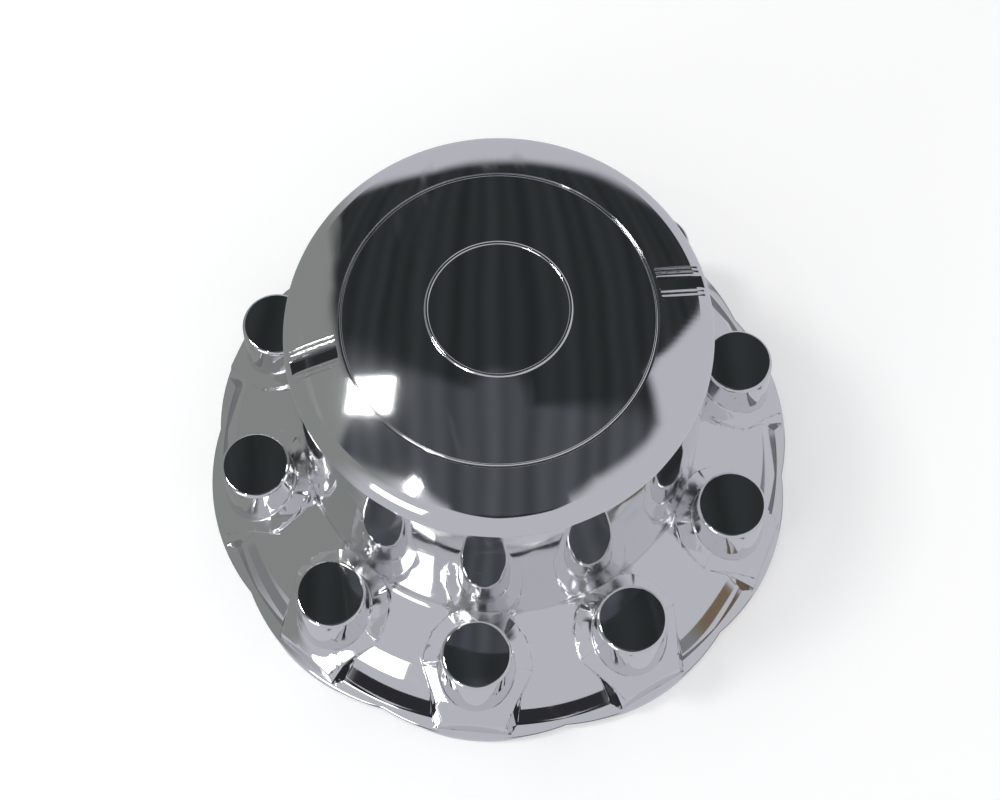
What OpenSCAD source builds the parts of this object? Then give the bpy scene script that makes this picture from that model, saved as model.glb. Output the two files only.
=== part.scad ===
// Wheel hub cover: one thin moulded shell with a crowned cap in the middle,
// nut towers on faceted bosses round it, and a lobed rim that rests on the wheel.
// Millimetres, +Z up, origin on the axis in the plane of the rim.

/* [Bolt circle] */
// Number of nut towers
lug_count = 10; // [8:1:10]
// Diameter of the circle through the nut towers
bolt_circle_d = 285.75; // [284:0.25:288]

/* [Shell] */
// Thickness of the moulded wall
wall = 2.8; // [2:0.1:3.2]

/* [Cap] */
// Height of the crown above the rim plane
cap_top_z = 222.5; // [190:0.5:240]
// Spherical radius of the crowned face
crown_r = 285; // [230:5:600]
// Radius of the cap wall where its line reaches the rim plane
cap_wall_r = 115.9; // [112:0.1:117]
// Draft of the cap wall in degrees
cap_draft = 1.25; // [0.5:0.05:2]
// Rounding between the crown and the cap wall
shoulder_r = 12.5; // [8:0.5:20]
// Fillet where the cap wall runs out into the shelf
neck_fillet = 7; // [5:0.5:9]

/* [Rings on the crown] */
// Radius of the small raised ring
bead_ring_r = 36.6; // [20:0.1:60]
// Width of the raised ring
bead_w = 2; // [1:0.1:3]
// Height of the raised ring
bead_h = 0.6; // [0.3:0.1:0.9]
// Radius of the large sunk ring
groove_ring_r = 81; // [65:0.5:82]
// Width of the sunk ring
groove_w = 1.8; // [1:0.1:3]
// Depth of the sunk ring
groove_depth = 0.8; // [0.3:0.1:1]

/* [Lift notches] */
// Distance from the axis to the inner end of a notch
notch_start = 84; // [83:0.5:88]
// Length of a notch along the shoulder
notch_len = 27; // [20:0.5:30]
// Width of the channel in the middle of a notch
channel_w = 7.6; // [5:0.1:9]
// Depth of the channel
channel_depth = 2.4; // [1.5:0.1:3]
// Number of grip slots on each side of the channel
slot_count = 2; // [1:1:3]
// Width of a grip slot
slot_w = 1.3; // [0.8:0.1:1.6]
// Depth of a grip slot
slot_depth = 0.9; // [0.4:0.1:1.4]
// Width of the ridge that stands between two slots
ridge_w = 1.1; // [0.8:0.1:1.6]

/* [Flange] */
// Radius at which the shelf breaks into the slope
crease_r = 147.5; // [146:0.5:149]
// Height of that break above the rim plane
crease_z = 38.2; // [34:0.2:40]
// Fall of the shelf in degrees
shelf_slope = 28.5; // [24:0.5:31]
// Radius at which the slope breaks into the skirt
knee_r = 157; // [155:0.5:159]
// Fall of the slope in degrees
band_slope = 40; // [36:1:46]
// Fall of the skirt in degrees
skirt_slope = 63; // [60:1:68]
// Rounding of the two breaks
break_r = 5; // [3:0.5:7]

/* [Rim] */
// Radius of the rim at a tower
rim_lobe_r = 176; // [175.5:0.1:178]
// Radius of the arc that draws each lobe of the rim
lobe_arc_r = 119; // [112:1:124]
// Height of the rim's ledge at the foot of the skirt
ledge_z = 7.5; // [6:0.5:9]
// Rounding of the ledge's outer edge
ledge_r = 1.8; // [1.2:0.1:2.4]

/* [Nut towers] */
// Height of the tower tops
tower_top_z = 74.4; // [70:0.2:80]
// Outer radius at the top of a tower
tower_r = 19.6; // [19.3:0.1:20.4]
// Draft of the tower wall in degrees
tower_draft = 3.6; // [3:0.1:4.2]
// Rounding round the top of a tower
tower_edge_r = 2.2; // [1.2:0.1:3]
// Radius of the pocket that takes the nut
nut_bore_r = 19.4; // [19.2:0.05:19.5]
// Height to which the nut pocket reaches
nut_bore_z = 42; // [38:0.5:44]
// Radius of the pocket that takes the stud's end
stud_bore_r = 17; // [14:0.1:17]
// Height at which the sockets end above the rim plane
socket_base_z = 12; // [8:0.5:18]

/* [Bosses] */
// Radius of the boss round the tower, on the side of the cap
boss_r = 30.6; // [30:0.1:31.4]
// Rise above the shelf of the ledge round the inner half of a boss
collar_h = 2.6; // [1.5:0.1:3.4]
// Gap between the end of that ledge and the tower's axis
collar_gap = 1.4; // [0:0.1:4]
// Height of the boss's cone on the tower's axis
boss_cone_z = 51.3; // [50:0.1:53]
// Fall of the boss's cone in degrees
boss_cone_slope = 18.5; // [15:0.5:21]
// Outward tilt of the boss's cone in degrees
boss_tilt = 26; // [24:0.5:28]
// Height of the boss's two side corners
side_z = 41; // [40:0.2:42]
// Distance from the axis to the front edge of the boss
front_u = 171; // [170:0.1:171.4]
// Half the length of the front edge
front_half_w = 17.5; // [16:0.1:19]
// Height of the front edge
front_z = 26; // [24:0.2:28]
// Fall of the chamfer above the front edge in degrees
front_chamfer_slope = 49; // [45:0.5:54]
// Fall of the wall below the front edge in degrees
front_wall_slope = 86; // [82:0.5:88]
// Fall of the chamfers above the side edges in degrees
side_chamfer_slope = 46.3; // [43:0.1:52]
// Fall of the walls below the side edges in degrees
side_wall_slope = 78.3; // [75:0.1:82]

/* [Hidden] */

axis_fn = 240;
tower_fn = 72;
ring_fn = 24;
big = 400;
cut_h = 40;
under = 1;

// Steps that draw each rounding on the outside and in the hollow
crown_steps = [8, 5];
shoulder_steps = [5, 3];
neck_steps = [4, 2];
break_steps = [1, 0];
edge_steps = [2, 0];

lug_r = bolt_circle_d / 2;
lug_step = 360 / lug_count;
rim_draft = 1.5;
socket_step = 0.2;
tower_foot_z = front_z + wall;
tower_foot_r = tower_r + (tower_top_z - tower_foot_z) * tan(tower_draft);

// Crown and shoulder: the rounding's centre touches both the crown's sphere and the wall's line
crown_cz = cap_top_z - crown_r;
shoulder_turn = asin((cap_wall_r * cos(cap_draft) - shoulder_r - crown_cz * sin(cap_draft))
                     / (crown_r - shoulder_r)) - cap_draft;
shoulder_c = [0, crown_cz] + (crown_r - shoulder_r) * [sin(shoulder_turn), cos(shoulder_turn)];
function crown_z(r) = crown_cz + sqrt(crown_r * crown_r - r * r);

// Corners of the flange's section, before they are rounded
neck_r = (cap_wall_r - tan(cap_draft) * (crease_z + crease_r * tan(shelf_slope)))
         / (1 - tan(cap_draft) * tan(shelf_slope));
function shelf_z(r) = crease_z + (crease_r - r) * tan(shelf_slope);
neck = [neck_r, shelf_z(neck_r)];
crease = [crease_r, crease_z];
knee = [knee_r, crease_z - (knee_r - crease_r) * tan(band_slope)];
foot = [knee[0] + (knee[1] - ledge_z) / tan(skirt_slope), ledge_z];

// Corners of a boss in the frame of its tower: side corner and end of the front edge
side_corner = [lug_r, boss_r, side_z];
front_corner = [front_u, front_half_w, front_z];
edge_run = front_corner - side_corner;

// Heading of the plane that holds the side edge and falls at the given slope
function side_heading(slope) = atan2(edge_run[1], edge_run[0])
    + acos(-edge_run[2] / (norm([edge_run[0], edge_run[1]]) * tan(slope)));

// Outward normal of a stretch of section that falls at the given slope
function normal(slope) = [sin(slope), cos(slope)];

// Rounds a corner of the section between two slopes, with the whole section moved in by inset.
// A positive radius rounds an outer corner, a negative one fills an inner corner, and with
// no steps the corner stays sharp.
function bend(corner, slope_1, slope_2, radius, inset, steps) =
    let (n_1 = normal(slope_1), n_2 = normal(slope_2),
         reach = (n_1 + n_2) / (1 + n_1 * n_2),
         n = steps[inset > 0 ? 1 : 0])
    n == 0 ? [corner - inset * reach]
    : [for (i = [0 : n]) corner - radius * reach
        + (radius - inset) * normal(slope_1 + (slope_2 - slope_1) * i / n)];

// Height at which a form starts: on the rim plane, or just below it for a hollow
function floor_z(inset) = inset > 0 ? -under : 0;

// The shell's section from the axis to the foot of the skirt, moved in by inset, and closed below
function section(inset) =
    let (side = inset > 0 ? 1 : 0, n_crown = crown_steps[side], n_shoulder = shoulder_steps[side],
         end_r = foot[0] + under / tan(skirt_slope) - inset / sin(skirt_slope))
    concat(
        [for (i = [0 : n_crown]) [0, crown_cz] + (crown_r - inset) * normal(shoulder_turn * i / n_crown)],
        [for (i = [1 : n_shoulder]) shoulder_c + (shoulder_r - inset)
            * normal(shoulder_turn + (90 - cap_draft - shoulder_turn) * i / n_shoulder)],
        bend(neck, 90 - cap_draft, shelf_slope, -neck_fillet, inset, neck_steps),
        bend(crease, shelf_slope, band_slope, break_r, inset, break_steps),
        bend(knee, band_slope, skirt_slope, break_r, inset, break_steps),
        [[end_r, ledge_z - under], [end_r, floor_z(inset)], [0, floor_z(inset)]]);

// Material below a plane through point p, whose normal has the given heading and slope
module below(p, heading, slope, inset) {
    translate(p)
        rotate([0, slope, heading])
            translate([-big / 2, -big / 2, -big - inset])
                cube(big);
}

// Places a shape at every tower
module each_lug() {
    for (i = [0 : lug_count - 1])
        rotate([0, 0, i * lug_step]) children();
}

// Sector of the rim whose arc swells out at its tower
module rim_lobe(inset) {
    base_r = lobe_arc_r - inset / cos(rim_draft) + (ledge_z - floor_z(inset)) * tan(rim_draft);
    hole_r = knee_r - break_r;
    intersection() {
        translate([rim_lobe_r - lobe_arc_r, 0, 0])
            rotate_extrude($fn = axis_fn)
                polygon(concat(
                    [[0, ledge_z - inset]],
                    bend([lobe_arc_r, ledge_z], 0, 90 - rim_draft, ledge_r, inset, edge_steps),
                    [[base_r, floor_z(inset)], [0, floor_z(inset)]]));
        translate([0, 0, -2 * under])
            linear_extrude(big)
                polygon([for (turn = [-0.5, 0.5], r = turn < 0 ? [hole_r, big] : [big, hole_r])
                    r * [cos(turn * lug_step), sin(turn * lug_step)]]);
    }
}

// Faceted boss: a tilted cone cut by chamfers and walls along its side and front edges, with a
// ledge parallel to the shelf round its inner half
module boss(inset) {
    intersection() {
        translate([lug_r, 0, floor_z(inset)]) linear_extrude(tower_top_z) {
            circle(boss_r - inset, $fn = tower_fn);
            translate([0, inset - boss_r]) square([boss_r + under, 2 * (boss_r - inset)]);
        }
        union() {
            intersection() {
                boss_cone(inset);
                side_planes(side_chamfer_slope, inset);
                side_planes(side_wall_slope, inset);
                below(front_corner, 0, front_chamfer_slope, inset);
                below(front_corner, 0, front_wall_slope, inset);
            }
            intersection() {
                below([lug_r, 0, shelf_z(lug_r) + collar_h / cos(shelf_slope)], 0, shelf_slope, inset);
                below([lug_r - collar_gap, 0, 0], 0, 90, inset);
            }
        }
    }
}

// Shallow cone that tilts outward over its tower's axis
module boss_cone(inset) {
    translate([lug_r, 0, boss_cone_z - inset / cos(boss_cone_slope)])
        rotate([0, boss_tilt, 0])
            rotate_extrude($fn = tower_fn)
                polygon([[0, 0], [big / 4, -big / 4 * tan(boss_cone_slope)], [big / 4, -big / 2], [0, -big / 2]]);
}

// Cuts along both side edges of a boss at one slope
module side_planes(slope, inset) {
    intersection() {
        below(side_corner, side_heading(slope), slope, inset);
        mirror([0, 1, 0]) below(side_corner, side_heading(slope), slope, inset);
    }
}

// The cover as a closed form, or its hollow when inset is the wall's thickness
module form(inset) {
    rotate_extrude($fn = axis_fn) polygon(section(inset));
    each_lug() {
        rim_lobe(inset);
        boss(inset);
    }
}

// Tapered tower with a rounded top, whose foot ends inside its socket
module tower() {
    translate([lug_r, 0, 0])
        rotate_extrude($fn = tower_fn)
            polygon(concat(
                [[0, tower_top_z]],
                bend([tower_r, tower_top_z], 0, 90 - tower_draft, tower_edge_r, 0, edge_steps),
                [[tower_foot_r, tower_foot_z], [0, tower_foot_z]]));
}

// Post left standing in the hollow below each tower, which the pocket makes a tube
module socket() {
    translate([lug_r, 0, socket_base_z])
        rotate([0, 0, lug_step / 2]) cylinder(h = tower_top_z, r = tower_foot_r + socket_step, $fn = tower_fn);
}

// Stepped pocket for a nut and the end of its stud
module pocket() {
    translate([lug_r, 0, -under]) {
        cylinder(h = nut_bore_z + under, r = nut_bore_r, $fn = tower_fn);
        cylinder(h = tower_top_z - wall + under, r = stud_bore_r, $fn = tower_fn);
    }
}

// Places a shape in the frame of each notch: X along the shoulder, Z out of it
module each_notch() {
    for (turn = [0, 180])
        rotate([0, 0, turn])
            translate([notch_start, 0, crown_z(notch_start)])
                rotate([0, asin((notch_start + notch_len / 2) / crown_r), 0]) children();
}

// Channel for a pry tool with grip slots on both sides
module notch() {
    translate([0, -channel_w / 2, -channel_depth]) cube([notch_len, channel_w, cut_h]);
    for (side = [-1, 1], i = [0 : slot_count - 1])
        translate([0, side * (channel_w / 2 + ridge_w + slot_w / 2 + i * (ridge_w + slot_w)) - slot_w / 2,
                   -slot_depth])
            cube([notch_len, slot_w, cut_h]);
}

// Wall kept behind a notch's channel
module notch_backing() {
    translate([-wall, -channel_w / 2 - wall, -channel_depth - wall])
        cube([notch_len, channel_w + 2 * wall, cut_h]);
}

// Radius of a circle that shows the given width and height above a surface
function ring_section_r(width, height) = (width * width / 4 + height * height) / (2 * height);

// Half-round ring on the crown, raised or, to be cut away, sunk
module crown_ring(radius, width, height, raised) {
    ring_r = ring_section_r(width, height);
    rotate_extrude($fn = axis_fn)
        translate([radius, crown_z(radius) + (raised ? -1 : 1) * (ring_r - height)])
            circle(ring_r, $fn = ring_fn);
}

// The whole moulding
module hub_cover() {
    color("gainsboro")
        difference() {
            union() {
                difference() {
                    form(0);
                    difference() {
                        form(wall);
                        each_lug() socket();
                        each_notch() notch_backing();
                    }
                }
                each_lug() tower();
                crown_ring(bead_ring_r, bead_w, bead_h, true);
            }
            each_lug() pocket();
            crown_ring(groove_ring_r, groove_w, groove_depth, false);
            each_notch() notch();
        }
}

hub_cover();
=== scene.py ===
import bpy
import math
import numpy as np
from mathutils import Matrix, Vector
from mathutils.geometry import delaunay_2d_cdt


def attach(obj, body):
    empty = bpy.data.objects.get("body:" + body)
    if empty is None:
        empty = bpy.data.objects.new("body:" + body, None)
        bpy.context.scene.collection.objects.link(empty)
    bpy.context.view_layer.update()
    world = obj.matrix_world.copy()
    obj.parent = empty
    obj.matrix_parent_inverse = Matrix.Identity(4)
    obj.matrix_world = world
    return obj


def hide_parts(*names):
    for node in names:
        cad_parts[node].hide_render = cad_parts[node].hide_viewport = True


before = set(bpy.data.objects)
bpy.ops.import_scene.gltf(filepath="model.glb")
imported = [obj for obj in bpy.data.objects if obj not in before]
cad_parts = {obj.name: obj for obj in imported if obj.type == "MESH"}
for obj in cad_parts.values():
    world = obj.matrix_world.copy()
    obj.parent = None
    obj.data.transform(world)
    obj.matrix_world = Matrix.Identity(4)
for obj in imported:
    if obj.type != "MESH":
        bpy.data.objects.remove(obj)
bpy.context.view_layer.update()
mm = 0.001

# the moulding, in millimetres and degrees
hubShape = {
    # the section from the crown to the rim
    "wall": 2.8, "capTop": 222.5, "crownRadius": 285.0, "capWallRadius": 115.9, "capDraft": 1.25,
    "shoulderRound": 12.5, "neckFillet": 7.0, "creaseRadius": 147.5, "creaseHeight": 38.2, "shelfSlope": 28.5,
    "kneeRadius": 157.0, "bandSlope": 40.0, "skirtSlope": 63.0, "breakRound": 5.0, "footFillet": 2.0,
    "ledgeHeight": 7.5, "rimEdgeRound": 1.8, "rimDraft": 1.5, "lobeRadius": 176.0, "lobeArc": 119.0,
    # the rings on the crown
    "beadRing": 36.6, "beadWidth": 2.0, "beadHeight": 0.6,
    "grooveRing": 81.0, "grooveWidth": 1.8, "grooveDepth": 0.8,
    # the lift notches: a channel, and slots on either side of it
    "notchStart": 84.0, "notchLength": 27.0, "channelHalf": 3.8, "channelDepth": 2.4,
    "slotDepth": 0.9, "ridge": 1.1, "slot": 1.3, "slots": 2,
    # the towers and their bosses
    "lugCount": 10, "lugRadius": 142.875,
    "towerTop": 74.4, "towerRadius": 19.6, "towerDraft": 3.6, "towerRound": 2.2, "towerCrown": 0.25,
    "towerFillet": 1.3, "bossRadius": 30.6, "bossBlend": 1.0, "towerLength": 60.0,
    "collarRise": 2.6, "collarGap": 1.4, "collarFront": 44.0, "collarSide": 46.0, "collarSteep": 9.0,
    "coneHeight": 51.3, "coneSlope": 18.5, "coneTilt": 26.0, "sideHeight": 41.0,
    "frontReach": 171.0, "frontHalf": 17.5, "frontHeight": 26.0,
    "frontChamfer": 49.0, "frontWall": 86.0, "sideChamfer": 46.3, "sideWall": 78.3,
    # the pockets and sockets inside
    "nutBore": 19.4, "nutDepth": 42.0, "studBore": 17.0, "studDepth": 71.6,
    "socketRadius": 22.67, "socketBase": 12.0, "boreChamfer": 0.35,
    # shading: how far the ledge and the channels' floor lean, and where the plating is thin
    "ledgeLean": 32.0, "ledgeFrom": 166.0, "floorLean": 12.0,
    "grooveAt": (118.5, 58.0), "grooveNear": 6.0, "grooveFar": 15.0, "grooveHalf": 26.0,
}

# how finely the moulding is meshed, in millimetres, degrees and counts of rows or lines
hubMesh = {
    "lineStep": 0.05, "cellsPerMm": 500, "probe": 0.05, "capProbe": 0.03, "ceilingProbe": 2.5,
    # half widths of a notched sector's lines: close at the edges of the channel and of the slots
    "notchYs": np.array([0, 1.9, 3.45, 3.72, 3.88, 4.15, 4.75, 4.9, 5.05, 5.55, 6.05, 6.2, 6.35,
                         7.15, 7.3, 7.45, 7.95, 8.45, 8.6, 8.75, 9.8]),
    "outerNotchLines": 12, "notchFanRadius": 80.0, "plainLines": 24,
    # radii of the cap's rows, and across a ring in halves of its width
    "crownRows": [2, 5, 10, 16, 22, 28, 33], "middleRows": [41, 47, 54, 61, 68, 74, 78],
    "outerRows": [83, 83.8, 84.05, 84.3, 85, 86, 88, 90, 92, 94, 96, 98, 100], "crownEnd": 100.0,
    "ringRows": np.array([-1.25, -1.02, -0.95, -0.75, -0.5, -0.25, 0, 0.25, 0.5, 0.75, 0.95, 1.02, 1.25]),
    "shoulderFrom": 102.0, "shoulderRuns": np.linspace(0, 19, 24), "wallRuns": np.array([12, 50, 90]),
    "liningRuns": np.concatenate([np.linspace(0, 100, 9)[1:], np.linspace(104, 122, 8), [150, 190]]),
    # how far up the neck the cap's grid ends, outside and inside
    "outerNeckUp": 13.5, "innerNeckUp": 15.5,
    # rows and rays round a lug
    "towerDisc": [7.0, 13.0, 16.6], "towerSpan": 3.6, "bossRows": 24, "bossMargin": 1.0, "frontMargin": 0.25,
    "frontSector": 44.0, "socketSpan": 1.0, "ceilingRows": 4, "ceilingTail": np.array([0.5, 0.33, 0.2, 0.09]),
    "raySpacing": 5.0, "cornerRays": np.array([-4, -2.4, -1.2, -0.4, 0.4, 1.2, 2.4, 4]),
    "collarRays": [91.2, 92.2, 92.9, 93.5, 94.1, 94.8, 95.8], "closeGap": 0.35, "evenGap": 0.9,
    # lines of the valley between the bosses, and the room they leave to its edges
    "valleyStep": 1.5, "neckRows": np.array([10.0, 7.6, 6.4, 5.2, 4.0, 2.8, 1.6, 0.6, 0.0]), "shelfRows": 6,
    "slopeRows": [152.0, 161.0, 164.5, 171.2, 172.6], "lastBreak": 172.3, "loopGap": 0.22, "holeGap": 0.25,
    "rimLines": 36, "sideLines": 8, "neckGap": 0.3, "rimGap": 0.15, "rimArc": 6,
}


def fallOf(slope):
    # height lost for each millimetre of radius on a slope given in degrees
    return math.tan(math.radians(slope))


def onCircle(turn):
    # points at those angles, in radians, on the unit circle
    return np.stack([np.cos(turn), np.sin(turn)], -1)


def slopeArc(centre, radius, slopeA, slopeB, steps):
    # arc about a centre between the points where its tangent falls at the two slopes
    turn = np.radians(np.linspace(slopeA, slopeB, steps))
    return centre + radius * np.stack([np.sin(turn), np.cos(turn)], 1)


def slopeNormal(slope):
    # outward normal, as (radius, height), of a stretch that falls at the slope
    return np.array([math.sin(math.radians(slope)), math.cos(math.radians(slope))])


def roundedCorner(corner, slopeA, slopeB, radius, steps=24):
    # arc tangent to both slopes: its centre lies radius inside the corner along the two normals' sum
    a, b = slopeNormal(slopeA), slopeNormal(slopeB)
    return slopeArc(np.array(corner) - radius * (a + b) / (1 + a @ b), radius, slopeA, slopeB, steps)


def kneeAndFoot(s):
    # where the band meets the skirt, and where the skirt meets the ledge, as radius and height
    drop = (s["kneeRadius"] - s["creaseRadius"]) * fallOf(s["bandSlope"])
    knee = (s["kneeRadius"], s["creaseHeight"] - drop)
    return knee, (knee[0] + (knee[1] - s["ledgeHeight"]) / fallOf(s["skirtSlope"]), s["ledgeHeight"])


def sectionLine(s):
    # crown, shoulder, wall, neck, shelf, slope, skirt and ledge as one dense line from the axis outwards
    axis = np.array([0, s["capTop"] - s["crownRadius"]])
    draft = math.radians(s["capDraft"])
    reach = s["capWallRadius"] * math.cos(draft) - s["shoulderRound"] - axis[1] * math.sin(draft)
    turn = math.degrees(math.asin(reach / (s["crownRadius"] - s["shoulderRound"]))) - s["capDraft"]
    shoulder = axis + (s["crownRadius"] - s["shoulderRound"]) * slopeNormal(turn)
    shelf = fallOf(s["shelfSlope"])
    neckR = ((s["capWallRadius"] - math.tan(draft) * (s["creaseHeight"] + s["creaseRadius"] * shelf))
             / (1 - math.tan(draft) * shelf))
    neck = (neckR, s["creaseHeight"] + (s["creaseRadius"] - neckR) * shelf)
    knee, foot = kneeAndFoot(s)
    return np.concatenate([
        slopeArc(axis, s["crownRadius"], 0, turn, 400),
        slopeArc(shoulder, s["shoulderRound"], turn, 90 - s["capDraft"], 60)[1:],
        roundedCorner(neck, 90 - s["capDraft"], s["shelfSlope"], -s["neckFillet"], 40),
        roundedCorner((s["creaseRadius"], s["creaseHeight"]), s["shelfSlope"], s["bandSlope"],
                      s["breakRound"]),
        roundedCorner(knee, s["bandSlope"], s["skirtSlope"], s["breakRound"]),
        roundedCorner(foot, s["skirtSlope"], 0, -s["footFillet"]),
        [[s["lobeRadius"] + 4, s["ledgeHeight"]]]])


def evenLine(line):
    # the same line at even steps of its running length: the lengths, the radii and the heights
    run = np.concatenate([[0], np.cumsum(np.hypot(*np.diff(line, axis=0).T))])
    even = np.arange(0, run[-1], hubMesh["lineStep"])
    return even, np.interp(even, run, line[:, 0]), np.interp(even, run, line[:, 1])


def insetLine(line, inset):
    # every point moved in by the inset along the line's own normal
    _, r, z = evenLine(line)
    dr, dz = np.gradient(r), np.gradient(z)
    size = np.hypot(dr, dz)
    return np.stack([np.clip(r + inset * dz / size, 0, None), z - inset * dr / size], 1)


class Section:
    # a section line at even steps, which also knows where its neck fillet has run out into the shelf
    def __init__(self, line, shelfSlope):
        # the neck ends at the first point whose slope is the shelf's
        self.run, self.r, self.z = evenLine(line)
        fall = -np.gradient(self.z) / np.gradient(self.r)
        onShelf = np.abs(fall - fallOf(shelfSlope)) < 0.004
        shelf = np.argmax(onShelf & (self.z < 60) & (self.r > 110))
        self.neckEnd, self.neckEndR = self.run[shelf], self.r[shelf]
        self.beyond = self.run >= self.neckEnd

    def at(self, run):
        # radius and height at a running length
        return np.interp(run, self.run, self.r), np.interp(run, self.run, self.z)

    def upNeck(self, reach):
        # a reach inside the neck's end goes on as the length up the neck and the wall
        return self.neckEnd - (self.neckEndR - reach)

    def runAt(self, reach):
        # beyond the neck's end the reach is the plain radius
        outer = np.interp(reach, self.r[self.beyond], self.run[self.beyond])
        return np.where(reach >= self.neckEndR, outer, self.upNeck(reach))


def smoothMax(a, b, blend):
    # the larger of two heights, with a small round of that size where they cross
    h = np.clip(blend - np.abs(a - b), 0, None) / blend
    return np.maximum(a, b) + h * h * blend / 4


def smoothMin(a, b, blend):
    # the smaller of two heights, rounded the same way
    return -smoothMax(-a, -b, blend)


def softStep(low, high, x):
    # 0 below low, 1 above high, and 3t2 - 2t3 between them
    t = np.clip((x - low) / (high - low), 0, 1)
    return t * t * (3 - 2 * t)


def planeHeight(u, t, point, heading, slope, inset):
    # height of the plane through a point whose normal has that heading and slope, lowered by the inset
    h = math.radians(heading)
    return (point[2] - fallOf(slope) * (math.cos(h) * (u - point[0]) + math.sin(h) * (t - point[1]))
            - inset / math.cos(math.radians(slope)))


def sideHeading(s, slope):
    # heading at which a plane of that slope holds the edge from the side corner to the front corner
    run = (s["frontReach"] - s["lugRadius"], s["frontHalf"] - s["bossRadius"],
           s["frontHeight"] - s["sideHeight"])
    flat = math.hypot(run[0], run[1])
    return math.degrees(math.atan2(run[1], run[0]) + math.acos(-run[2] / (flat * fallOf(slope))))


def coneHeight(u, t, s, inset):
    # lower root of the tilted cone's quadratic in height
    tilt, k = math.radians(s["coneTilt"]), math.sin(math.radians(s["coneSlope"])) ** 2
    si, co = math.sin(tilt), math.cos(tilt)
    dx = u - s["lugRadius"]
    far = dx * dx + t * t + 1e-6
    a = co * co - k
    root = np.sqrt(np.clip((dx * si * co) ** 2 - a * (dx * dx * si * si - k * far), 0, None))
    return s["coneHeight"] - inset / math.cos(math.radians(s["coneSlope"])) + (-dx * si * co - root) / a


def bossHeight(u, t, s, inset=0.0, blend=0.7):
    # the cone cut by chamfers and walls, and the ledge round its inner half, as one height
    t = np.abs(t)
    side = (s["lugRadius"], s["bossRadius"], s["sideHeight"])
    front = (s["frontReach"], s["frontHalf"], s["frontHeight"])
    top = coneHeight(u, t, s, inset)
    for slope in (s["sideChamfer"], s["sideWall"]):
        top = smoothMin(top, planeHeight(u, t, side, sideHeading(s, slope), slope, inset), blend)
    for slope in (s["frontChamfer"], s["frontWall"]):
        top = smoothMin(top, planeHeight(u, t, front, 0, slope, inset), blend)
    # the ledge follows the shelf, and two steep faces end it: in front, and round the boss's radius
    lift = s["collarRise"] / math.cos(math.radians(s["shelfSlope"]))
    ledgeTop = s["creaseHeight"] + (s["creaseRadius"] - s["lugRadius"]) * fallOf(s["shelfSlope"]) + lift
    ledge = planeHeight(u, t, (s["lugRadius"], 0, ledgeTop), 0, s["shelfSlope"], inset)
    ahead = u - (s["lugRadius"] - s["collarGap"] - inset)
    beyond = np.hypot(u - s["lugRadius"], t) - (s["bossRadius"] - inset)
    ledge = smoothMin(ledge, s["collarFront"] - s["collarSteep"] * ahead, blend)
    ledge = smoothMin(ledge, s["collarSide"] - s["collarSteep"] * beyond + 0.5 * (s["lugRadius"] - u), blend)
    return np.maximum(top, ledge)


def towerLine(s):
    # tower top, its rounded edge and its wall as radius and height
    drop = s["towerCrown"]
    flat = s["towerRadius"] - s["towerRound"]
    disc = np.linspace(0, flat, 40)
    corner = (s["towerRadius"], s["towerTop"] - drop)
    edge = roundedCorner(corner, 0, 90 - s["towerDraft"], s["towerRound"], 60)
    down = s["towerLength"]
    foot = (s["towerRadius"] + down * fallOf(s["towerDraft"]), s["towerTop"] - drop - down)
    return np.concatenate([np.stack([disc, s["towerTop"] - drop * (disc / flat) ** 2], 1)[:-1], edge, [foot]])


outerLine = Section(sectionLine(hubShape), hubShape["shelfSlope"])
innerLine = Section(insetLine(sectionLine(hubShape), hubShape["wall"]), hubShape["shelfSlope"])
tower = towerLine(hubShape)
# radii on the neck, outside and inside, where the cap's grid ends and the lug's begins
neckReach = outerLine.neckEndR - hubMesh["outerNeckUp"]
innerNeckReach = innerLine.neckEndR - hubMesh["innerNeckUp"]


def onSection(section, px, py):
    # the section's point over a place in plan: its x, its y and its height
    reach, theta = np.hypot(px, py), np.arctan2(py, px)
    r, base = section.at(section.runAt(reach))
    return r * np.cos(theta), r * np.sin(theta), base


def skinPoint(px, py, s=hubShape):
    # the outer face over a lug's sector: the highest of section, boss and tower, and the tower's fillet
    u, t, base = onSection(outerLine, px, py)
    low = smoothMax(base, bossHeight(u, t, s), s["bossBlend"])
    d = np.hypot(u - s["lugRadius"], t)
    away = d - (s["towerRadius"] + (s["towerTop"] - low) * fallOf(s["towerDraft"]))
    f = s["towerFillet"]
    chord = np.sqrt(np.clip(f * f - (f - np.clip(away, 0, None)) ** 2, 0, None))
    low = low + np.where(away < f, f - chord, 0)
    return np.stack([u, t, np.maximum(low, np.interp(d, tower[:, 0], tower[:, 1], right=-50.0))], -1)


def ceilingPoint(px, py, s=hubShape):
    # the inner face over a lug's sector, a wall's thickness below the outer one
    u, t, base = onSection(innerLine, px, py)
    return np.stack([u, t, smoothMax(base, bossHeight(u, t, s, s["wall"]), s["bossBlend"])], -1)


def normalsOf(surface, px, py, h, down=False):
    # cross product of the surface's two central differences
    du = surface(px + h, py) - surface(px - h, py)
    dv = surface(px, py + h) - surface(px, py - h)
    n = np.cross(du, dv)
    n /= np.linalg.norm(n, axis=-1, keepdims=True) + 1e-12
    return -n if down else n


def notchLines(s, radius):
    # angles, in radians, of a notched sector's lines: even widths near the notch, even angles beyond it
    half = hubMesh["notchYs"]
    ys = np.concatenate([-half[::-1], half[1:]])
    near = np.arcsin(np.clip(ys / np.maximum(radius, hubMesh["notchFanRadius"]), -1, 1))
    edge, count = near[-1], hubMesh["outerNotchLines"]
    beyond = edge + (math.pi / s["lugCount"] - edge) * np.arange(1, count + 1) / count
    return np.concatenate([-beyond[::-1], near, beyond])


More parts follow.
